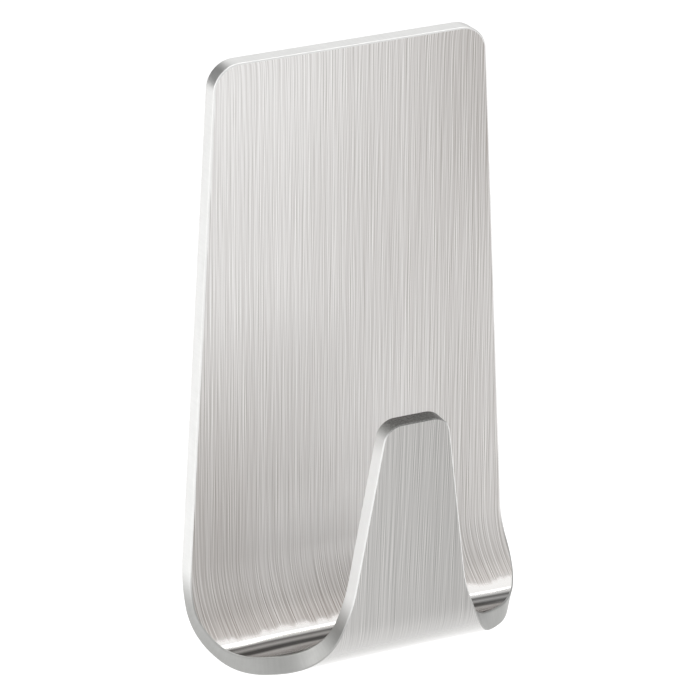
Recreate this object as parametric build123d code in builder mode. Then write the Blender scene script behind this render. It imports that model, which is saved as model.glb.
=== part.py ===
"""Adhesive wall hook: one folded strip of stainless sheet and the foam pad that sticks it to the wall.

The blank is a plate that widens downwards, two round shoulders and a tapered tongue. It is curled
forwards in three arcs, so the tongue stands up in front of the plate.

Frame: millimetres, +Z up, the wall is the plane Y = 0 and the hook stands out towards -Y.
The origin is the middle of the pad's sticky face.
"""
import os
from math import hypot, radians, sqrt

from build123d import *

# Sheet
sheet_thickness = 1.5

# Plate, the flat part against the wall
plate_height = 42.0          # flat height, from the top edge to the start of the curl
plate_top_width = 23.9
plate_foot_width = 28.5      # width at the start of the curl
plate_corner_radius = 2.3

# Curl, three arcs seen from the side, radii on the inside of the sheet
lead_in_radius = 5.8         # first bend, out of the plate
lead_in_angle = 50.0
ramp_radius = 12.4           # almost straight slope down to the throat
ramp_angle = 10.0
throat_radius = 3.5          # tight round that a strap or loop hangs in
throat_angle = 116.5

# Tongue, flat again after the curl
tongue_length = 17.4
tongue_foot_width = 10.8     # between the straight sides, at the end of the curl
tongue_tip_width = 5.5
tongue_corner_radius = 1.6

# Shoulders of the flat blank, measured along the middle of the sheet
shoulder_start = 3.4         # straight side that runs on past the start of the curl
shoulder_radius = 8.6        # outward round of the shoulder
flare_radius = 13.4          # inward round that runs out into the tongue's side

# Foam pad on the back of the plate
pad_thickness = 1.0
pad_inset = 1.5              # distance from the pad's edge to the plate's edge
pad_corner_radius = 1.5

# Places that follow from the sizes
plate_back_y = -pad_thickness
plate_front_y = plate_back_y - sheet_thickness
plate_top_z = plate_height / 2
curl_start_z = -plate_height / 2

# Lengths along the middle of the sheet, from the start of the curl
lead_in_run = radians(lead_in_angle) * (lead_in_radius + sheet_thickness / 2)
ramp_run = radians(ramp_angle) * (ramp_radius + sheet_thickness / 2)
throat_run = radians(throat_angle) * (throat_radius + sheet_thickness / 2)
curl_run = lead_in_run + ramp_run + throat_run
tip_run = curl_run + tongue_length

# Side lines of the flat blank: half width gained for each millimetre of run
plate_taper = (plate_foot_width - plate_top_width) / 2 / plate_height
tongue_taper = (tongue_foot_width - tongue_tip_width) / 2 / tongue_length


def plate_side(run):
    """Half width on the plate's straight side."""
    return plate_foot_width / 2 + plate_taper * run


def tongue_side(run):
    """Half width on the tongue's straight side."""
    return tongue_tip_width / 2 + tongue_taper * (tip_run - run)


# The S of a shoulder in the flat blank, as points (run, half width): two arcs tangent to each other,
# the first tangent to the plate's side and the second to the tongue's side
plate_inward = Vector(plate_taper, -1) / hypot(plate_taper, 1)
tongue_along = Vector(1, -tongue_taper) / hypot(tongue_taper, 1)
tongue_outward = Vector(tongue_taper, 1) / hypot(tongue_taper, 1)
shoulder_centre = Vector(shoulder_start, plate_side(shoulder_start)) + plate_inward * shoulder_radius
flare_line_end = Vector(tip_run, tongue_side(tip_run)) + tongue_outward * flare_radius
to_shoulder = shoulder_centre - flare_line_end
centre_distance = shoulder_radius + flare_radius
flare_step = sqrt(centre_distance**2 - to_shoulder.dot(tongue_outward) ** 2)
flare_centre = flare_line_end + tongue_along * (to_shoulder.dot(tongue_along) + flare_step)
turning_point = shoulder_centre + (flare_centre - shoulder_centre) * (shoulder_radius / centre_distance)
flare_end = (flare_centre - tongue_outward * flare_radius).X


def half_width(run):
    """Half width of the blank at a run from the start of the curl."""
    if run <= shoulder_start:
        return plate_side(run)
    if run <= turning_point.X:
        return shoulder_centre.Y + sqrt(shoulder_radius**2 - (run - shoulder_centre.X) ** 2)
    if run <= flare_end:
        return flare_centre.Y - sqrt(flare_radius**2 - (run - flare_centre.X) ** 2)
    return tongue_side(run)


# The shaped stretch ends one sheet past the flare, or past the curl where that is longer
shaped_run = max(flare_end, curl_run) + sheet_thickness
station_count = 17
stations = [shaped_run * index / (station_count - 1) for index in range(station_count)]


def draw_curl(depth):
    """Draw the curl from the side, at a depth below the sheet's inner face, and return both its ends.

    The flat that follows the curl is drawn with it, to the end of the shaped stretch.
    """
    start = (plate_front_y + depth, curl_start_z)
    lead_arc = JernArc(start, (0, -1), lead_in_radius + depth, -lead_in_angle)
    ramp_arc = JernArc(lead_arc @ 1, lead_arc % 1, ramp_radius + depth, -ramp_angle)
    hook_arc = JernArc(ramp_arc @ 1, ramp_arc % 1, throat_radius + depth, -throat_angle)
    flat = Line(hook_arc @ 1, hook_arc @ 1 + (hook_arc % 1) * (shaped_run - curl_run))
    return lead_arc @ 0, flat @ 1


def draw_plate_outline():
    """Draw the flat plate's four straight sides, with sharp corners."""
    Polyline(
        (-plate_foot_width / 2, curl_start_z),
        (-plate_top_width / 2, plate_top_z),
        (plate_top_width / 2, plate_top_z),
        (plate_foot_width / 2, curl_start_z),
        close=True,
    )


# Middle line of the sheet, from the start of the curl to the end of the shaped stretch
with BuildLine(Plane.YZ) as middle_line:
    draw_curl(sheet_thickness / 2)
middle_wire = middle_line.wire()
tongue_heading = middle_wire % 1
tongue_plane = Plane(middle_wire @ 1, x_dir=(1, 0, 0), z_dir=Vector(1, 0, 0).cross(tongue_heading))


def plane_across_sheet(run):
    """Plane square to the sheet at a run, with its X across the sheet."""
    place = middle_wire.position_at(run, PositionMode.LENGTH)
    heading = middle_wire.tangent_at(run, PositionMode.LENGTH)
    return Plane(place, x_dir=(1, 0, 0), z_dir=heading)


# Cutter with the blank's outline, so that the cut edges stay square to the sheet all round the curl
with BuildPart() as blank_cutter:
    for station in stations:
        with BuildSketch(plane_across_sheet(station)):
            Rectangle(2 * half_width(station), 2 * sheet_thickness)
    loft()

# Hook: the curled strip trimmed to the blank's outline, with the flat plate and the flat tongue
with BuildPart() as hook:
    with BuildSketch(Plane.YZ):
        with BuildLine():
            inner_start, inner_end = draw_curl(0)
            outer_start, outer_end = draw_curl(sheet_thickness)
            Line(inner_start, outer_start)
            Line(inner_end, outer_end)
        make_face()
    extrude(amount=plate_foot_width, both=True)
    add(blank_cutter.part, mode=Mode.INTERSECT)

    with BuildSketch(Plane.XZ.offset(-plate_back_y)):
        with BuildLine():
            draw_plate_outline()
        plate_face = make_face()
        fillet(plate_face.vertices().group_by(Axis.Y)[-1], plate_corner_radius)
    extrude(amount=sheet_thickness)

    with BuildSketch(tongue_plane):
        with BuildLine():
            Polyline(
                (-half_width(shaped_run), 0),
                (-tongue_tip_width / 2, tip_run - shaped_run),
                (tongue_tip_width / 2, tip_run - shaped_run),
                (half_width(shaped_run), 0),
                close=True,
            )
        tongue_face = make_face()
        fillet(tongue_face.vertices().group_by(Axis.Y)[-1], tongue_corner_radius)
    extrude(amount=sheet_thickness / 2, both=True)

# Foam pad: the plate's outline drawn in by the inset, between the plate and the wall
with BuildPart() as adhesive_pad:
    with BuildSketch(Plane.XZ):
        with BuildLine():
            draw_plate_outline()
        make_face()
        pad_face = offset(amount=-pad_inset, kind=Kind.INTERSECTION, mode=Mode.REPLACE)
        fillet(pad_face.vertices(), pad_corner_radius)
    extrude(amount=pad_thickness)

hook.part.label = "hook"
adhesive_pad.part.label = "adhesive_pad"

os.makedirs("parts", exist_ok=True)
export_step(hook.part, "parts/hook.step")
export_step(adhesive_pad.part, "parts/adhesive_pad.step")
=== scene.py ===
# %% [markdown]
# # An adhesive hook folded from one strip of brushed sheet
#
# The real thing is a flat blank of stainless sheet, a plate with round shoulders and a narrow tongue,
# which a press curls forwards until the tongue stands up in front of the plate. A thin foam pad on
# the back sticks it to the wall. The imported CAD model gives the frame: the wall is the plane Y = 0, Z
# is up and the hook stands out towards -Y. Everything here is worked out in millimetres and put into
# the meshes in metres.

import bpy
import numpy as np
from mathutils import Matrix, Vector


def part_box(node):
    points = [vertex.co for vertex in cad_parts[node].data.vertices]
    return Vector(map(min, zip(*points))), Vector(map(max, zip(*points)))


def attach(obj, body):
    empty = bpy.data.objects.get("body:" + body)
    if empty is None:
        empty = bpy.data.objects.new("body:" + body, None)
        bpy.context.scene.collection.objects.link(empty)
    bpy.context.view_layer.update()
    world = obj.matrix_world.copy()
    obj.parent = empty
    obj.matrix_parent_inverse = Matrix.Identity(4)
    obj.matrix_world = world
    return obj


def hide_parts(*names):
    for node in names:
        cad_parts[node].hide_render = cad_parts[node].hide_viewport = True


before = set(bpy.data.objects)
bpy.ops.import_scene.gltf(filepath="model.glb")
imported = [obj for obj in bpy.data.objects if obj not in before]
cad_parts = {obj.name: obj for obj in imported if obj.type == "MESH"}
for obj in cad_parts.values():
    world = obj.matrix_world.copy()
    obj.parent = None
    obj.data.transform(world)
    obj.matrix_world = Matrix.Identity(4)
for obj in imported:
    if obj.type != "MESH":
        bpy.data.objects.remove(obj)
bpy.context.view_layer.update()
mm = 0.001
hook_low, hook_high = (np.array(corner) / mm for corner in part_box("hook"))
pad_low, pad_high = (np.array(corner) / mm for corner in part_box("adhesive_pad"))
print("hook box, mm:", hook_low.round(2), hook_high.round(2))
print("pad box, mm:", pad_low.round(2), pad_high.round(2))

# %% [markdown]
# ## The flat blank
#
# A sheet metal worker draws the blank flat first, so the lesson does too. A place on the blank is a
# run, the distance down the strip from the line where the curl starts, and a distance across from the
# middle. One side of the outline is a chain of straight stretches and tangent arcs: the plate's top
# corner, its side, the shoulder, the flare and the tongue's side and corner. It could be one spline
# through many points, but arcs and lines keep the few sizes that a drawing would carry, and they give
# an exact outward normal everywhere.

# %% Sizes of the blank
sheet_thickness = 1.5
plate_height = 42.0
plate_top_width = 23.9
plate_foot_width = 28.5
plate_corner_radius = 2.3
tongue_length = 17.4
tongue_foot_width = 10.8
tongue_tip_width = 5.5
tongue_corner_radius = 1.6
shoulder_start = 3.4
shoulder_radius = 8.6
flare_radius = 13.4

# The curl's three arcs: lead-in, ramp and throat, with the radii of the middle of the sheet
inside_radii = np.array([5.8, 12.4, 3.5])
curl_radii = inside_radii + sheet_thickness / 2
curl_angles = np.radians([50.0, 10.0, 116.5])
arc_ends = np.cumsum(curl_radii * curl_angles)
arc_starts = arc_ends - curl_radii * curl_angles
curl_run = arc_ends[-1]
tip_run = curl_run + tongue_length
plate_taper = (plate_foot_width - plate_top_width) / 2 / plate_height
tongue_taper = (tongue_foot_width - tongue_tip_width) / 2 / tongue_length
print("runs, mm: curl %.2f to %.2f, tip %.2f" % (0, curl_run, tip_run))


# %% Stretches of an outline
def direction(angle):
    """Unit vectors (cos, sin) of an angle or an array of angles, in radians."""
    return np.stack([np.cos(angle), np.sin(angle)], axis=-1)


def arc(centre, radius, start, end, count, hollow=False):
    """Points centre + radius * direction(angle), the angle going evenly from start to end.

    The outward normal is the same direction, or its opposite where the arc is hollowed into the sheet.
    """
    ways = direction(np.linspace(start, end, count))
    return centre + radius * ways, -ways if hollow else ways


def line(start, end, normal, count):
    """Points start + share * (end - start), the share going evenly from 0 to 1, with one normal for all."""
    share = np.linspace(0, 1, count)[:, None]
    return start + share * (end - start), np.repeat(normal[None, :], count, axis=0)


def chain(*stretches):
    """One outline from stretches that follow each other, without the points that they share."""
    points = [places[:-1] for places, _ in stretches[:-1]] + [stretches[-1][0]]
    normals = [ways[:-1] for _, ways in stretches[:-1]] + [stretches[-1][1]]
    return np.concatenate(points), np.concatenate(normals)


def corner_centre(end_run, into, side_at_end, taper, radius):
    """Centre of a corner arc that touches an end edge and a side: radius away from both.

    into is 1 where the strip goes on to larger runs and -1 where it ends, side_at_end is the side's half
    width at that end, and taper the half width gained for each millimetre of run.
    """
    run = end_run + into * radius
    half = side_at_end + taper * (run - end_run) - radius * np.hypot(taper, 1)
    return np.array([run, half])


# %% One side of the blank
plate_normal = direction(np.pi / 2 + np.arctan(plate_taper))
tongue_normal = direction(np.pi / 2 - np.arctan(tongue_taper))
tongue_along = np.array([tongue_normal[1], -tongue_normal[0]])

plate_centre = corner_centre(-plate_height, 1, plate_top_width / 2, plate_taper, plate_corner_radius)
tip_centre = corner_centre(tip_run, -1, tongue_tip_width / 2, -tongue_taper, tongue_corner_radius)
shoulder_point = np.array([shoulder_start, plate_foot_width / 2 + plate_taper * shoulder_start])
shoulder_centre = shoulder_point - plate_normal * shoulder_radius

# The flare touches the tongue's side and the shoulder's arc, so its centre lies on a line beside the
# tongue's side, as far from the shoulder's centre as both radii together
flare_line = np.array([tip_run, tongue_tip_width / 2]) + tongue_normal * flare_radius
to_shoulder = shoulder_centre - flare_line
flare_step = np.sqrt((shoulder_radius + flare_radius) ** 2 - (to_shoulder @ tongue_normal) ** 2)
flare_centre = flare_line + tongue_along * (to_shoulder @ tongue_along + flare_step)

plate_angle = np.arctan2(plate_normal[1], plate_normal[0])
tongue_angle = np.arctan2(tongue_normal[1], tongue_normal[0])
turning_angle = np.arctan2(*(flare_centre - shoulder_centre)[::-1])
curl_side = np.array([0, plate_foot_width / 2])

blank_side = chain(
    arc(plate_centre, plate_corner_radius, np.pi, plate_angle, 14),
    line(plate_centre + plate_normal * plate_corner_radius, curl_side, plate_normal, 30),
    line(curl_side, shoulder_point, plate_normal, 16),
    arc(shoulder_centre, shoulder_radius, plate_angle, turning_angle, 44),
    arc(flare_centre, flare_radius, turning_angle + np.pi, tongue_angle + np.pi, 44, hollow=True),
    line(
        flare_centre - tongue_normal * flare_radius,
        tip_centre + tongue_normal * tongue_corner_radius,
        tongue_normal,
        16,
    ),
    arc(tip_centre, tongue_corner_radius, tongue_angle, 0, 14),
)
print("points on one side of the blank:", len(blank_side[0]))


# %% [markdown]
# ## The fold
#
# Curling the blank keeps the length of its middle line, so a run on the blank is a run along the
# fold: straight down the plate, round a lead-in arc, down an almost straight ramp, round the tight
# throat, and straight up the tongue. A curve modifier could bend a flat mesh like this, but it would
# stretch the normals, and three arcs need no more than sines and cosines. In a bend, a sheet's free
# edges also spring a little outwards, because the metal there isn't held from the side. That spring
# shows in the photograph as a bottom contour that is bowed and not straight, so the fold has it too.

# %% Carry a place on the blank onto the fold
middle_y = pad_low[1] - sheet_thickness / 2
curl_start_z = hook_high[2] - plate_height
edge_spring = 0.12
edge_reach = 2.6


def turned(run):
    """Angle that the sheet has turned through at a run: the run within each arc over that arc's radius."""
    within = np.clip(run[..., None], arc_starts, arc_ends) - arc_starts
    return (within / curl_radii).sum(axis=-1)


def sheet_axes(run):
    """Unit vectors down the strip and out of its front face, for each run."""
    turn = turned(run)
    none = np.zeros_like(turn)
    along = np.stack([none, -np.sin(turn), -np.cos(turn)], axis=-1)
    front = np.stack([none, -np.cos(turn), np.sin(turn)], axis=-1)
    return along, front


def fold(run, across, height, from_edge):
    """Place on the folded sheet: the middle line at that run, plus height along the front normal.

    The middle line is the plate's straight, then the sines and cosines of the three arcs, then the tongue's
    straight. from_edge is the distance to the nearest cut edge: away from the edges the bend is drawn in by
    edge_spring * (1 - exp(-(from_edge / edge_reach)^2)), fading out at both ends of the curl.
    """
    turn = turned(run)
    rest = np.maximum(run - curl_run, 0)
    arc_from = np.cumsum(curl_angles) - curl_angles
    arc_to = np.clip(turn[..., None], arc_from, arc_from + curl_angles)
    y = middle_y - (curl_radii * (np.cos(arc_from) - np.cos(arc_to))).sum(axis=-1) - np.sin(turn) * rest
    z = curl_start_z - (curl_radii * (np.sin(arc_to) - np.sin(arc_from))).sum(axis=-1) - np.cos(turn) * rest
    middle = np.stack([across, y, z - np.minimum(run, 0)], axis=-1)
    share = np.sin(np.pi * np.clip(run / curl_run, 0, 1)) ** 2
    drawn_in = edge_spring * share * (1 - np.exp(-((from_edge / edge_reach) ** 2)))
    return middle + (height + drawn_in)[..., None] * sheet_axes(run)[1]


at_tip, none = np.array([tip_run]), np.zeros(1)
print("middle of the tongue's tip, mm:", fold(at_tip, none, none, none)[0].round(2))

# %% [markdown]
# ## The sheet as a mesh
#
# A punched sheet is two broad faces and a cut edge round them, with the burr taken off so that nobody
# cuts a finger. It could be a flat mesh with Solidify and Bevel modifiers, but on a fold those round
# the corners of the mesh and not of the metal. Here each broad face is a grid, from side to side
# along every run of the outline, and the rim is the outline carried through the thickness on a
# profile with a small round at each corner. The normals are worked out with the points, so the flat
# plate stays flat in reflections right up to its edge.

# %% Grid helpers
def quads(index, flip=False):
    """Four-sided faces of a grid of vertex numbers, each square once, turned round where flip is set."""
    corners = [index[:-1, :-1], index[1:, :-1], index[1:, 1:], index[:-1, 1:]]
    return np.stack(corners[::-1] if flip else corners, axis=-1).reshape(-1, 4)


def edge_profile(thickness, front_round, back_round, count):
    """Section through a cut edge from front to back: inset, height and the normal's two parts.

    Each corner is a quarter circle: inset = radius * (1 - cos), height = half - radius * (1 - sin).
    """
    turn = np.linspace(np.pi / 2, 0, count)
    front = [front_round * (1 - np.cos(turn)), thickness / 2 - front_round * (1 - np.sin(turn))]
    back = [back_round * (1 - np.cos(turn)), -thickness / 2 + back_round * (1 - np.sin(turn))]
    return np.concatenate([
        np.stack(front + [np.cos(turn), np.sin(turn)], axis=-1),
        np.stack(back + [np.cos(turn), -np.sin(turn)], axis=-1)[::-1],
    ])


def closed_outline(side, columns):
    """The outline once round: run, across, the normal's two parts, and the half width at each point.

    It goes down the right side, along the tip to the left, up the left side and along the top to the right.
    """
    (run, half), (normal_run, normal_half) = side[0].T, side[1].T
    inner = np.linspace(-1, 1, columns)[1:-1]
    ends = np.ones_like(inner)
    return (
        np.concatenate([run, run[-1] * ends, run[::-1], run[0] * ends]),
        np.concatenate([half, -half[-1] * inner, -half[::-1], half[0] * inner]),
        np.concatenate([normal_run, ends, normal_run[::-1], -ends]),
        np.concatenate([normal_half, 0 * ends, -normal_half[::-1], 0 * ends]),
        np.concatenate([half, half[-1] * ends, half[::-1], half[0] * ends]),
    )


# %% The broad faces and the map on them
def broad_face(side, row, facing, columns, place):
    """Grid of places and unit normals of one broad face, drawn in from the outline by the row's inset.

    A point lies share * half width across, the share going evenly from -1 to 1, at each run of the outline.
    The normal is the cross product of the grid's two steps, with facing 1 in front and -1 at the back.
    """
    (run, half), (normal_run, normal_half) = side[0].T, side[1].T
    inset, height = row[:2]
    face_run = np.repeat((run - inset * normal_run)[:, None], columns, axis=1)
    face_half = (half - inset * normal_half)[:, None]
    across = face_half * np.linspace(-1, 1, columns)
    places = place(face_run, across, np.full(across.shape, height), face_half - np.abs(across))
    normals = np.cross(np.gradient(places, axis=0), np.gradient(places, axis=1))
    normals *= facing / np.linalg.norm(normals, axis=-1, keepdims=True)
    return places, normals


def border(grid):
    """Vertex numbers round the border of a face's grid, in the order of the closed outline."""
    return np.concatenate([grid[:, -1], grid[-1, -2:0:-1], grid[::-1, 0], grid[0, 1:-1]])


def corner_uvs(values, flip=False):
    """A grid of UVs handed out to the corners of its faces, in the order of quads."""
    numbers = quads(np.arange(values[..., 0].size).reshape(values.shape[:2]), flip)
    return values.reshape(-1, 2)[numbers.ravel()]


def sheet_uvs(side, outline, profile, columns):
    """UVs in millimetres: across and run on the faces, length along the edge and height on the rim."""
    run, half = side[0].T
    share = np.linspace(-1, 1, columns)
    face_uv = np.stack([half[:, None] * share, np.repeat(run[:, None], columns, axis=1)], axis=-1)
    steps = np.hypot(*(np.diff(places, append=places[0]) for places in outline[:2]))
    length = np.concatenate([[0], np.cumsum(steps)])
    rim_uv = np.stack(np.broadcast_arrays(length[:, None], profile[:, 1]), axis=-1)
    return np.concatenate([corner_uvs(face_uv), corner_uvs(face_uv, flip=True), corner_uvs(rim_uv)])


# %% The whole sheet
def sheet_mesh(side, profile, columns, place, axes):
    """Points, normals, faces, face kinds and UVs of a sheet with this side outline and edge profile.

    side is the outline's points and normals as (run, half width), mirrored for the other side. place and
    axes carry runs onto the finished sheet. The faces are the front grid, the back grid and the rim, of
    kinds 0, 2 and 1. A ring of the rim is the outline drawn in by the profile's inset, at its height.
    """
    front_points, front_normals = broad_face(side, profile[0], 1, columns, place)
    back_points, back_normals = broad_face(side, profile[-1], -1, columns, place)
    points = [front_points.reshape(-1, 3), back_points.reshape(-1, 3)]
    normals = [front_normals.reshape(-1, 3), back_normals.reshape(-1, 3)]
    front_grid = np.arange(len(points[0])).reshape(-1, columns)
    back_grid = front_grid + front_grid.size
    count = 2 * front_grid.size

    outline = closed_outline(side, columns)
    run, across, normal_run, normal_across, half = outline
    along, front = axes(run)
    outward = normal_run[:, None] * along
    outward[:, 0] += normal_across
    rings = [border(front_grid)]
    for inset, height, edge_part, face_part in profile[1:-1]:
        ring_run = run - inset * normal_run
        ring_across = across - inset * normal_across
        from_edge = np.maximum(half - np.abs(ring_across), 0)
        points.append(place(ring_run, ring_across, np.full(run.shape, height), from_edge))
        normals.append(edge_part * outward + face_part * front)
        rings.append(count + np.arange(run.size))
        count += run.size
    rings.append(border(back_grid))

    rim = np.stack(rings, axis=-1)
    rim = np.concatenate([rim, rim[:1]])
    parts = [quads(front_grid), quads(back_grid, flip=True), quads(rim)]
    kinds = np.repeat([0, 2, 1], [len(part) for part in parts])
    uvs = sheet_uvs(side, outline, profile, columns)
    return np.concatenate(points), np.concatenate(normals), np.concatenate(parts), kinds, uvs


def make_object(name, points, normals, faces, kinds, uv):
    """A mesh object from arrays in millimetres, with its own normals and the UV map 'sheet'."""
    mesh = bpy.data.meshes.new(name)
    mesh.from_pydata((points * mm).tolist(), [], faces.tolist(), shade_flat=False)
    mesh.polygons.foreach_set("material_index", kinds.astype(np.int32))
    layer = mesh.uv_layers.new(name="sheet")
    layer.uv.foreach_set("vector", uv.astype(np.float32).ravel())
    lengths = np.linalg.norm(normals, axis=1, keepdims=True)
    mesh.normals_split_custom_set_from_vertices((normals / lengths).tolist())
    mesh.update()
    piece = bpy.data.objects.new(name, mesh)
    bpy.context.scene.collection.objects.link(piece)
    print("%s: %d points, %d faces" % (name, len(points), len(faces)))
    return piece


# %% The folded hook
front_round = 0.16
back_round = 0.10
round_points = 6
hook_columns = 61
hook_profile = edge_profile(sheet_thickness, front_round, back_round, round_points)
hook = make_object("folded_hook", *sheet_mesh(blank_side, hook_profile, hook_columns, fold, sheet_axes))
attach(hook, "root")
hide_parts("hook")

# %% [markdown]
# ## The foam pad
#
# The pad is a stamp of closed-cell foam tape, a little smaller than the plate all round. Squeezed
# between the plate and the wall it is flat on both faces, and its soft sides belly out between them.
# It is the same kind of sheet as the hook, only flat and with a softer edge, so the same function
# makes it.

# %% Outline of the pad
pad_inset = 1.5
pad_corner_radius = 1.5
pad_thickness = pad_high[1] - pad_low[1]
pad_middle_y = (pad_high[1] + pad_low[1]) / 2
pad_top_run, pad_foot_run = pad_inset - plate_height, -pad_inset
pad_slant = pad_inset * np.hypot(plate_taper, 1)


def pad_side_at(run):
    """Half width of the pad's straight side: the plate's side drawn in square to itself."""
    return plate_foot_width / 2 + plate_taper * run - pad_slant


pad_top = corner_centre(pad_top_run, 1, pad_side_at(pad_top_run), plate_taper, pad_corner_radius)
pad_foot = corner_centre(pad_foot_run, -1, pad_side_at(pad_foot_run), plate_taper, pad_corner_radius)
pad_out = plate_normal * pad_corner_radius
pad_side = chain(
    arc(pad_top, pad_corner_radius, np.pi, plate_angle, 12),
    line(pad_top + pad_out, pad_foot + pad_out, plate_normal, 40),
    arc(pad_foot, pad_corner_radius, plate_angle, 0, 14),
)
print("pad, mm: %.1f tall, %.2f thick" % (pad_foot_run - pad_top_run, pad_thickness))


# %% The pad as a soft flat sheet
def flat_axes(run):
    """Down and out of the front face of a flat upright sheet."""
    one, none = np.ones_like(run), np.zeros_like(run)
    return np.stack([none, none, -one], axis=-1), np.stack([none, -one, none], axis=-1)


def flat(run, across, height, from_edge):
    """Place on the flat pad: straight down from the start of the curl, height towards the plate."""
    return np.stack([across, pad_middle_y - height, curl_start_z - run], axis=-1)


pad_round = 0.22
pad_columns = 31
pad_profile = edge_profile(pad_thickness, pad_round, pad_round, round_points)
pad = make_object("foam_pad", *sheet_mesh(pad_side, pad_profile, pad_columns, flat, flat_axes))
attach(pad, "root")
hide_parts("adhesive_pad")

# %% [markdown]
# ## Brushed steel
#
# Brushed stainless is drawn under an abrasive belt, so it carries thousands of fine straight
# scratches, all one way: here down the strip, and round the curl with it. Each scratch is a tiny
# groove that spreads light sideways and hardly lengthways. The shader's anisotropy does that
# spreading, with the tangent taken across the strip from the UV map. A picture of brushed metal could
# give the scratches, but lines worked out on the same map stay sharp at any size: hair lines as wide
# as a real scratch, with slower noise for broader ones. The grooves scatter so much that the plate
# hardly mirrors the tongue, so part of the light is given back as from a matt surface.

# %% Materials and nodes
def new_material(name):
    """A node material with its Principled shader, ready to link."""
    material = bpy.data.materials.new(name)
    material.use_nodes = True
    shader = material.node_tree.nodes["Principled BSDF"]
    return material, material.node_tree, shader


def add_node(tree, kind, **settings):
    """A node of that kind with its settings; names with spaces are written with underscores for sockets."""
    node = tree.nodes.new(kind)
    for name, value in settings.items():
        if hasattr(node, name):
            setattr(node, name, value)
        else:
            node.inputs[name.replace("_", " ")].default_value = value
    return node


def parts_of(tree, vector):
    """The X, Y and Z of a vector, as sockets."""
    node = add_node(tree, "ShaderNodeSeparateXYZ")
    tree.links.new(vector, node.inputs[0])
    return node.outputs["X"], node.outputs["Y"], node.outputs["Z"]


# %% Sums, ramps and mixes
def weighted_sum(tree, parts):
    """Sum of (socket, weight) pairs, by multiply-add nodes in a row."""
    total = None
    for socket, weight in parts:
        node = add_node(tree, "ShaderNodeMath", operation="MULTIPLY_ADD")
        tree.links.new(socket, node.inputs[0])
        node.inputs[1].default_value = weight
        if total is None:
            node.inputs[2].default_value = 0.0
        else:
            tree.links.new(total, node.inputs[2])
        total = node.outputs[0]
    return total


def product(tree, first, second):
    """One value times another."""
    node = add_node(tree, "ShaderNodeMath", operation="MULTIPLY")
    tree.links.new(first, node.inputs[0])
    tree.links.new(second, node.inputs[1])
    return node.outputs[0]


def mapped(tree, socket, low, high, to_low, to_high, smooth=False):
    """The value carried from low..high to to_low..to_high and held at both ends.

    In between, the share s of the way goes evenly, or as 3s^2 - 2s^3 where smooth is set.
    """
    node = add_node(
        tree, "ShaderNodeMapRange", From_Min=low, From_Max=high, To_Min=to_low, To_Max=to_high
    )
    node.interpolation_type = "SMOOTHSTEP" if smooth else "LINEAR"
    tree.links.new(socket, node.inputs["Value"])
    return node.outputs["Result"]


def patch(tree, first, first_span, second, second_span):
    """One where both values have reached the second number of their span, falling to none at the first."""
    return product(
        tree,
        mapped(tree, first, *first_span, 0, 1, smooth=True),
        mapped(tree, second, *second_span, 0, 1, smooth=True),
    )


def two_colours(tree, socket, dark, light):
    """A colour between dark and light by the value, each a plain colour or another colour's socket."""
    node = add_node(tree, "ShaderNodeMix", data_type="RGBA")
    first, second, mixed = node.inputs[6], node.inputs[7], node.outputs[2]
    for end, colour in ((first, dark), (second, light)):
        if isinstance(colour, tuple):
            end.default_value = (*colour, 1)
        else:
            tree.links.new(colour, end)
    tree.links.new(socket, node.inputs["Factor"])
    return mixed


# %% Streaks down the strip
def stretched_noise(tree, coordinates, size, detail, seed):
    """Noise whose cells are size = (across, along) millimetres on the UV map, moved by seed."""
    scale = (1 / size[0], 1 / size[1], 1)
    mapping = add_node(tree, "ShaderNodeMapping", Scale=scale, Location=(seed, seed, 0))
    noise = add_node(tree, "ShaderNodeTexNoise", noise_dimensions="2D", Scale=1.0, Detail=detail)
    noise.inputs["Roughness"].default_value = 0.6
    tree.links.new(coordinates, mapping.inputs["Vector"])
    tree.links.new(mapping.outputs["Vector"], noise.inputs["Vector"])
    return noise.outputs["Fac"]


def hair_lines(tree, coordinates, width, length):
    """Straight lines of one width, each its own noise along it less the noise of the line beside it.

    The place across is cut down to whole lines, and each line lies line_step away from the last in the
    noise, so that neighbours have nothing in common. The place along is divided by length. Taking the
    neighbour away keeps the lines from gathering into broad stripes.
    """
    line_step = 5.37
    across, along, _ = parts_of(tree, coordinates)
    line_place = add_node(tree, "ShaderNodeMath", operation="SNAP")
    tree.links.new(across, line_place.inputs[0])
    line_place.inputs[1].default_value = width
    along = weighted_sum(tree, [(along, 1 / length)])
    noises = []
    for beside in (0, 1):
        apart = add_node(tree, "ShaderNodeMath", operation="MULTIPLY_ADD")
        tree.links.new(line_place.outputs[0], apart.inputs[0])
        apart.inputs[1].default_value = line_step / width
        apart.inputs[2].default_value = line_step * beside
        joined = add_node(tree, "ShaderNodeCombineXYZ")
        tree.links.new(apart.outputs[0], joined.inputs["X"])
        tree.links.new(along, joined.inputs["Y"])
        noise = add_node(tree, "ShaderNodeTexNoise", noise_dimensions="2D", Scale=1.0, Detail=1.0)
        tree.links.new(joined.outputs[0], noise.inputs["Vector"])
        noises.append(noise.outputs["Fac"])
    return weighted_sum(tree, [(noises[0], 1.0), (noises[1], -1.0)])
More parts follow.
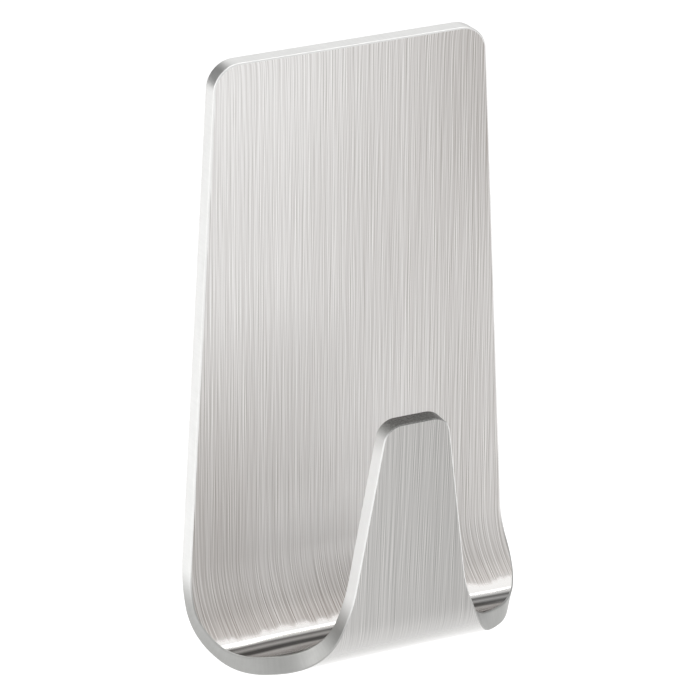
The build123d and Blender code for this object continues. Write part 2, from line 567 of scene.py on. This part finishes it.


# %% [markdown]
# ## Brushed and smooth stretches
#
# Bending changes the brushed finish. The inside of the curl is squeezed against the forming pin and
# comes out burnished, so it shows a sharp image of the overhead light, a white band, with painted dark
# reflections under it. The outside is stretched, its grain opens, and the scratches fade below the tongue.
# The plate in the photograph is lightest at the top left and darkest in the lower left corner, and that is
# light and shade. Lamps close to the plate could do that, but each of them would show in the curl as
# well, so soft patches of painted light and painted shade on the UV map do it. One function makes both
# faces of the sheet, each with its own smooth stretch.

# %% Tone and smooth stretch
def painted_light_and_shade(tree, across, along):
    """Sum of soft patches of painted light and painted shade on the strip, each a product of smooth ramps
    across and along it.

    Places are millimetres from the middle of the strip and from the start of the curl.
    """
    # Painted light on the left and at the upper left, painted shade over the curl before the white band, in
    # the lower left corner and at the upper right, and painted light in the middle and at the foot, where
    # the tongue's shade falls on the plate
    painted_light_left = mapped(tree, across, -11, 8, 1, 0, smooth=True)
    painted_shade_curl = patch(tree, along, (1.4, arc_ends[1] - 0.6), along, (arc_ends[2] - 0.5, arc_ends[2] - 3.0))
    painted_shade_curl = product(tree, painted_shade_curl, mapped(tree, across, 3, 11, 1, 0.5))
    painted_shade_lower_left = patch(tree, across, (-3, -14), along, (-26, -2))
    painted_shade_lower_left = product(tree, painted_shade_lower_left, mapped(tree, along, 1, 9, 1, 0, smooth=True))
    painted_shade_upper_right = patch(tree, across, (4, 13), along, (-16, -40))
    painted_light_upper_left = patch(tree, across, (8, -6), along, (-28, -40))
    # Painted light where the tongue's shade falls on the middle of the plate
    painted_light_middle_across = patch(tree, across, (-7, 2), across, (11, 4))
    middle = product(tree, painted_light_middle_across, patch(tree, along, (-25, -4), along, (3.5, 0.5)))
    painted_light_foot_across = patch(tree, across, (-11, -5), across, (9, 2))
    painted_light_foot = product(tree, painted_light_foot_across, patch(tree, along, (-7, -2), along, (2.5, -0.5)))
    return weighted_sum(tree, [
        (painted_light_left, 0.5),
        (painted_shade_curl, -1.3),
        (painted_shade_lower_left, -1.0),
        (painted_shade_upper_right, -0.45),
        (painted_light_upper_left, 0.25),
        (middle, 0.62),
        (painted_light_foot, 0.35),
    ])


def brushing_left(tree, ragged, along, smooth_runs):
    """How much of the brushing is left: one, and a tenth in the smooth stretch.

    smooth_runs are the runs where the stretch comes in, along the ragged run, and where it goes out again.
    """
    (come_in, full), (fade, gone) = smooth_runs
    before = mapped(tree, ragged, come_in, full, 1, 0.1, smooth=True)
    after = mapped(tree, along, fade, gone, 0, 0.9, smooth=True)
    return weighted_sum(tree, [(before, 1.0), (after, 1.0)])


def grey_along(tree, along, stops):
    """Warm grey that goes evenly from one (run, grey) stop to the next along the strip."""
    first, last = stops[0][0], stops[-1][0]
    ramp = add_node(tree, "ShaderNodeValToRGB")
    tree.links.new(mapped(tree, along, first, last, 0, 1), ramp.inputs["Fac"])
    points = ramp.color_ramp.elements
    for run, _ in stops[1:-1]:
        points.new((run - first) / (last - first))
    for point, (_, grey) in zip(points, stops):
        point.color = (grey, 0.99 * grey, 0.975 * grey, 1)
    return ramp.outputs["Color"]


# %% The brushed faces
def brushed_steel(name, dark, light, smooth_runs, smooth_greys):
    """Steel scratched along the strip: three sizes of streak in colour, roughness and height.

    In the smooth stretch the streaks fade, the roughness drops, the steel is all metal and smooth_greys
    give its colour.
    """
    material, tree, shader = new_material(name)
    uv = add_node(tree, "ShaderNodeUVMap", uv_map="sheet").outputs["UV"]
    across, along, _ = parts_of(tree, uv)
    hair = hair_lines(tree, uv, width=0.085, length=9.0)
    scratch = stretched_noise(tree, uv, size=(0.22, 23.0), detail=1.0, seed=31.7)
    band = stretched_noise(tree, uv, size=(0.9, 41.0), detail=1.0, seed=77.3)
    streaks = weighted_sum(tree, [(hair, 1.0), (scratch, 0.16), (band, 0.14)])
    streaks = mapped(tree, streaks, -0.25, 0.55, -1, 1)

    # The sheet met the forming pin a little askew and unevenly, so the smooth stretch starts like that
    askew = weighted_sum(tree, [(along, 1.0), (across, -0.010)])
    wobble = mapped(tree, band, 0.3, 0.7, -0.2, 0.2)
    ripple = mapped(tree, scratch, 0.3, 0.7, -0.06, 0.06)
    ragged = weighted_sum(tree, [(along, 1.0), (across, 0.012), (wobble, 1.0), (ripple, 1.0)])
    brushed = brushing_left(tree, ragged, along, smooth_runs)
    streaks = product(tree, streaks, brushed)

    # The colour is the streaks of the grain plus the patches of painted light and painted shade
    grain_and_painted_light = weighted_sum(tree, [(streaks, 0.8), (painted_light_and_shade(tree, across, along), 1.0)])
    grain_and_painted_colour = two_colours(tree, mapped(tree, grain_and_painted_light, -1.6, 1.2, 0, 1), dark, light)
    colour = two_colours(tree, brushed, grey_along(tree, askew, smooth_greys), grain_and_painted_colour)
    polish = mapped(tree, brushed, 0.1, 1, 0.32, 1)
    roughness = product(tree, mapped(tree, streaks, -1, 1, 0.52, 0.46), polish)
    bump = add_node(tree, "ShaderNodeBump", Strength=0.3, Distance=0.003 * mm)
    tree.links.new(streaks, bump.inputs["Height"])
    tangent = add_node(tree, "ShaderNodeTangent", direction_type="UV_MAP", uv_map="sheet")
    tree.links.new(colour, shader.inputs["Base Color"])
    tree.links.new(roughness, shader.inputs["Roughness"])
    tree.links.new(mapped(tree, brushed, 0.1, 1, 1, 0.4), shader.inputs["Metallic"])
    tree.links.new(bump.outputs["Normal"], shader.inputs["Normal"])
    tree.links.new(tangent.outputs["Tangent"], shader.inputs["Tangent"])
    shader.inputs["Anisotropic"].default_value = 0.7
    return material


# %% [markdown]
# ## The cut edge
#
# The edge that the punch leaves is tumbled until its burr is gone, so it is brighter and smoother
# than the brushed faces, and it lights up along the plate's side and top. Round the curl it is painted
# darker, which is painted shade. Up the tongue it is more matt and painted lighter, partly a matt finish
# and partly painted light. At the tip, where the strip was sheared off, it is a rough shear face, painted
# dark with painted shade. Separate materials would meet in hard lines, so one material changes over
# along the piece, by its place.

# %% The cut edge
# Heights where the painted shade round the curl comes in, and where the tip's painted shade and the tongue
# edge's painted light lie
curl_shade_from_z = curl_start_z - 0.2
curl_shade_full_z = curl_start_z - 3.6
tip_height = 22.2
tip_z = hook_low[2] + tip_height
tip_corner_z = tip_z - 1.4
tongue_light_end_z, tongue_light_gone_z = tip_z - 3.2, tip_z - 0.8
tongue_y = hook_low[1] + 3.0
fleck_size = 0.12


def cut_edge_steel():
    """Sheared and deburred edge: bright, painted shade round the curl, more matt with painted light up the
    tongue, and a rough shear face painted dark at the tip.
    """
    material, tree, shader = new_material("cut_edge_steel")
    uv = add_node(tree, "ShaderNodeUVMap", uv_map="sheet").outputs["UV"]
    shear = stretched_noise(tree, uv, size=(0.25, 3.0), detail=2.0, seed=5.1)
    blotch = stretched_noise(tree, uv, size=(2.5, 1.2), detail=2.0, seed=12.9)
    marks = weighted_sum(tree, [(shear, 0.5), (blotch, 0.5)])
    marks = mapped(tree, marks, 0.3, 0.7, 0, 1)
    place = add_node(tree, "ShaderNodeTexCoord").outputs["Object"]
    fleck = add_node(tree, "ShaderNodeTexNoise", Scale=1 / (fleck_size * mm), Detail=2.0)
    tree.links.new(place, fleck.inputs["Vector"])
    flecks = mapped(tree, fleck.outputs["Fac"], 0.35, 0.65, 0, 1)

    # Where each kind of edge lies, by the place on the piece
    _, y, z = parts_of(tree, place)
    forward = mapped(tree, y, tongue_y * mm, (tongue_y - 1) * mm, 0, 1)
    painted_curl_shade = mapped(tree, z, curl_shade_from_z * mm, curl_shade_full_z * mm, 0, 1, smooth=True)
    high = mapped(tree, z, tip_corner_z * mm, tip_z * mm, 0, 1, smooth=True)
    tip_shear_and_shade = product(tree, high, forward)
    below_tip = mapped(tree, z, tongue_light_end_z * mm, tongue_light_gone_z * mm, 1, 0, smooth=True)
    matt_and_painted_light = product(tree, product(tree, forward, below_tip), mapped(tree, painted_curl_shade, 0, 1, 1, 0))

    # The edge's own bright colour, with painted shade round the curl, painted light up the tongue and
    # painted shade on the tip's flecked shear face
    bright_colour = two_colours(tree, marks, (0.79, 0.79, 0.78), (0.82, 0.82, 0.81))
    painted_curl_shade_colour = two_colours(tree, marks, (0.37, 0.37, 0.36), (0.40, 0.40, 0.39))
    tip_shear_and_shade_colour = two_colours(tree, flecks, (0.11, 0.11, 0.11), (0.22, 0.22, 0.21))
    colour = two_colours(tree, matt_and_painted_light, bright_colour, (0.93, 0.93, 0.92))
    colour = two_colours(tree, painted_curl_shade, colour, painted_curl_shade_colour)
    colour = two_colours(tree, tip_shear_and_shade, colour, tip_shear_and_shade_colour)
    tree.links.new(colour, shader.inputs["Base Color"])
    tree.links.new(mapped(tree, marks, 0, 1, 0.44, 0.36), shader.inputs["Roughness"])
    tree.links.new(mapped(tree, matt_and_painted_light, 0, 1, 1, 0.3), shader.inputs["Metallic"])
    return material


# %% [markdown]
# ## The finishes on the hook
#
# Where the white band in the curl ends, the burnished throat shows a bright line and two dark ones,
# reflections that are painted into the colour as stops of grey along the run: a painted highlight and
# painted dark reflections. They could be shallow grooves in the mesh, but grooves so fine would need a
# far denser grid, so they are stops of grey along the run. The outside never touched the pin and fades
# to one even grey. The back's steel is a darker copy of the front's, painted shade on the tongue and
# the outside of the curl. Front, cut edge and back are the mesh's three kinds of face, so the materials
# go on in that order.

# %% The finishes on the hook
inside_smooth = ((arc_starts[1] + 1.15, arc_starts[1] + 2.05), (arc_ends[2] - 2.0, arc_ends[2] - 0.5))
outside_smooth = ((arc_starts[0] + 2.0, arc_starts[0] + 4.0), (arc_ends[2] - 3.5, arc_ends[2] + 0.5))
# Run where the painted highlight and painted dark reflections in the throat begin, and their stops of grey
painted_lines_run = arc_ends[1] + 0.28
painted_reflection_greys = [
    (painted_lines_run - 0.30, 0.30),
    (painted_lines_run - 0.12, 0.80),
    (painted_lines_run + 0.20, 0.84),
    (painted_lines_run + 0.52, 0.13),
    (painted_lines_run + 0.90, 0.52),
    (painted_lines_run + 1.30, 0.07),
    (painted_lines_run + 1.68, 0.07),
    (painted_lines_run + 2.00, 0.50),
    (painted_lines_run + 2.60, 0.55),
]
outside_greys = [(0, 0.74), (curl_run, 0.74)]
front_steel = brushed_steel(
    "brushed_front",
    dark=(0.295, 0.261, 0.238),
    light=(0.951, 0.941, 0.931),
    smooth_runs=inside_smooth,
    smooth_greys=painted_reflection_greys,
)
# The back is a darker copy of the front's steel: painted shade on the tongue and the outside of the curl
back_steel = brushed_steel(
    "brushed_back",
    dark=(0.199, 0.194, 0.187),
    light=(0.705, 0.693, 0.679),
    smooth_runs=outside_smooth,
    smooth_greys=outside_greys,
)
for steel in (front_steel, cut_edge_steel(), back_steel):
    hook.data.materials.append(steel)
print("hook materials:", [material.name for material in hook.data.materials])

# %% [markdown]
# ## Foam
#
# The pad is pale closed-cell foam tape: on its faces a thin skin of tacky adhesive over the cells,
# round its sides the cells that the die cut open. Modelled bubbles would be far smaller than anything
# that can be seen, so a cell pattern in the material does it, with shallow, wide cells under the skin
# and small, deep ones on the cut sides.

# %% The foam and its adhesive skin
def closed_cell_foam(name, cell, depth, roughness):
    """Pale foam whose cells, of that size in millimetres, show as pits and as lighter walls."""
    material, tree, shader = new_material(name)
    place = add_node(tree, "ShaderNodeTexCoord").outputs["Object"]
    cells = add_node(tree, "ShaderNodeTexVoronoi", feature="DISTANCE_TO_EDGE", Scale=1 / (cell * mm))
    mottle = add_node(tree, "ShaderNodeTexNoise", Scale=1 / (6 * mm), Detail=4.0)
    tree.links.new(place, cells.inputs["Vector"])
    tree.links.new(place, mottle.inputs["Vector"])
    mix = weighted_sum(tree, [(cells.outputs["Distance"], 0.8), (mottle.outputs["Fac"], 0.5)])
    colour = two_colours(tree, mapped(tree, mix, 0.1, 0.7, 0, 1), (0.66, 0.66, 0.64), (0.86, 0.86, 0.84))
    tree.links.new(colour, shader.inputs["Base Color"])
    tree.links.new(mapped(tree, mix, 0.1, 0.7, roughness, roughness - 0.2), shader.inputs["Roughness"])
    bump = add_node(tree, "ShaderNodeBump", Strength=0.6, Distance=depth * mm, invert=True)
    tree.links.new(cells.outputs["Distance"], bump.inputs["Height"])
    tree.links.new(bump.outputs["Normal"], shader.inputs["Normal"])
    return material


adhesive_skin = closed_cell_foam("adhesive_skin", cell=0.5, depth=0.01, roughness=0.5)
foam_cut_side = closed_cell_foam("foam_cut_side", cell=0.22, depth=0.06, roughness=0.9)
for foam in (adhesive_skin, foam_cut_side, adhesive_skin):
    pad.data.materials.append(foam)
print("pad materials:", [material.name for material in pad.data.materials])

# %% [markdown]
# ## Floor and light
#
# The photograph is a plain studio picture on white, where nothing but the metal's own reflections
# shows how it was lit. A sheet of white paper under the hook is what most of the metal reflects. It
# could be made white by stronger lamps, but they would bleach the hook too, so a little light of its
# own is added to the paper where the camera or a mirror sees it, and the hook's soft shadow stays.

# %% Floor
floor_z = -75.0
floor_half = 1500.0
paper_grey = 0.9
floor_corners = np.array([[-1, -1], [1, -1], [1, 1], [-1, 1]]) * floor_half
floor_mesh = bpy.data.meshes.new("floor")
floor_mesh.from_pydata(
    (np.column_stack([floor_corners, np.full(4, floor_z)]) * mm).tolist(), [], [(0, 1, 2, 3)]
)
floor = bpy.data.objects.new("floor", floor_mesh)
bpy.context.scene.collection.objects.link(floor)
paper, paper_tree, paper_shader = new_material("white_paper")
paper_shader.inputs["Base Color"].default_value = (paper_grey, paper_grey, paper_grey, 1)
paper_shader.inputs["Roughness"].default_value = 0.9
floor_mesh.materials.append(paper)

# What the lamps leave missing to white is added where the camera, a mirror or glass looks at the paper
missing_white = 0.30
looks = add_node(paper_tree, "ShaderNodeLightPath").outputs
seen = weighted_sum(paper_tree, [
    (looks["Is Camera Ray"], missing_white),
    (looks["Is Glossy Ray"], missing_white),
    (looks["Is Transmission Ray"], missing_white),
])
paper_shader.inputs["Emission Color"].default_value = (1, 1, 1, 1)
paper_tree.links.new(seen, paper_shader.inputs["Emission Strength"])
print("floor: %.0f mm under the origin, paper %.2f" % (-floor_z, paper_grey))


# %% [markdown]
# ## Lamps
#
# Polished metal shows its lamps, so each lamp is placed by what mirrors it. A long strip straight
# overhead makes the white band in the curl. A soft lamp on the left lights the tongue's cut edge, and
# one behind on the right lights the top edge. The room is a little brighter in front than behind, and
# a dark card up behind on the left turns the edge round the upper corner grey. The card could be a
# black plane, but as a patch of the world it casts no shadow.

# %% Lamps
def soft_lamp(name, place, aim, size, brightness):
    """A rectangular lamp at a place, shining at aim, with its first side level along X, in millimetres.

    Its power is pi times its area times its brightness, so the brightness is what a mirror shows of it.
    """
    data = bpy.data.lights.new(name, "AREA")
    data.shape = "RECTANGLE"
    data.size, data.size_y = size[0] * mm, size[1] * mm
    data.energy = np.pi * data.size * data.size_y * brightness
    away = (Vector(place) - Vector(aim)).normalized()
    side = (Vector((1, 0, 0)) - away * away.x).normalized()
    turn = Matrix([side, away.cross(side), away]).transposed().to_quaternion()
    lamp = bpy.data.objects.new(name, data)
    bpy.context.scene.collection.objects.link(lamp)
    lamp.matrix_world = Matrix.LocRotScale(Vector(place) * mm, turn, Vector((1, 1, 1)))
    lamp.visible_camera = False
    return lamp


lamps = [
    soft_lamp("overhead_strip", place=(150, -20, 500), aim=(150, -20, 0), size=(900, 160), brightness=2.1),
    soft_lamp("side_lamp", place=(-600, 120, 190), aim=(0, -6, -10), size=(520, 520), brightness=1.05),
    soft_lamp("back_lamp", place=(280, 620, 330), aim=(0, -2, 20), size=(450, 300), brightness=0.5),
]
print("lamps, W:", {lamp.name: round(lamp.data.energy, 2) for lamp in lamps})

# %% The room and the dark card
front_room, back_room = 0.83, 0.62
card_direction = Vector((-0.47, 0.82, 0.33)).normalized()
card_left = 0.15
world = bpy.data.worlds.new("studio")
bpy.context.scene.world = world
world.use_nodes = True
sky = world.node_tree
looked_at = add_node(sky, "ShaderNodeTexCoord").outputs["Generated"]
_, away_from_front, _ = parts_of(sky, looked_at)
room = mapped(sky, away_from_front, -0.3, 0.5, front_room, back_room, smooth=True)
toward_card = add_node(sky, "ShaderNodeVectorMath", operation="DOT_PRODUCT")
sky.links.new(looked_at, toward_card.inputs[0])
toward_card.inputs[1].default_value = card_direction
card = mapped(sky, toward_card.outputs["Value"], 0.82, 0.95, 1, card_left, smooth=True)
sky.links.new(product(sky, room, card), sky.nodes["Background"].inputs["Strength"])
sky.nodes["Background"].inputs["Color"].default_value = (1, 1, 1, 1)
print("room: %.2f in front, %.2f behind" % (front_room, back_room))

# %% [markdown]
# ## Camera
#
# The photograph was taken from the front left and from above, with a long lens: the plate's sides
# stay almost parallel. The numbers were found by matching the plate's corners, the tongue and the
# curl's outline in the picture. Instead of a tracking constraint, the camera's three axes are worked
# out from its angles, which also lets it roll by half a degree.

# %% Camera
azimuth, elevation, roll = np.radians([-27.72, 22.26, 0.52])
camera_distance = 422.2
camera_aim = np.array([0.657, -1.0, -5.285])
sensor = 36.0
lens = 271.6

right = np.array([np.cos(azimuth), np.sin(azimuth), 0])
level_back = np.array([np.sin(azimuth), -np.cos(azimuth), 0])
back = np.cos(elevation) * level_back + np.sin(elevation) * np.array([0, 0, 1])
up = np.cross(back, right)
turned_right = np.cos(roll) * right + np.sin(roll) * up
turned_up = np.cos(roll) * up - np.sin(roll) * right
camera_data = bpy.data.cameras.new("camera")
camera_data.sensor_width = sensor
camera_data.lens = lens
camera_data.clip_start, camera_data.clip_end = 0.01, 10
camera = bpy.data.objects.new("camera", camera_data)
bpy.context.scene.collection.objects.link(camera)
camera_place = camera_aim + camera_distance * back
camera.matrix_world = Matrix.LocRotScale(
    Vector(camera_place * mm),
    Matrix(np.column_stack([turned_right, turned_up, back]).tolist()).to_quaternion(),
    Vector((1, 1, 1)),
)
bpy.context.scene.camera = camera
bpy.context.scene.view_settings.view_transform = "Standard"
print("camera at, mm:", camera_place.round(1), "lens %.1f mm" % lens)
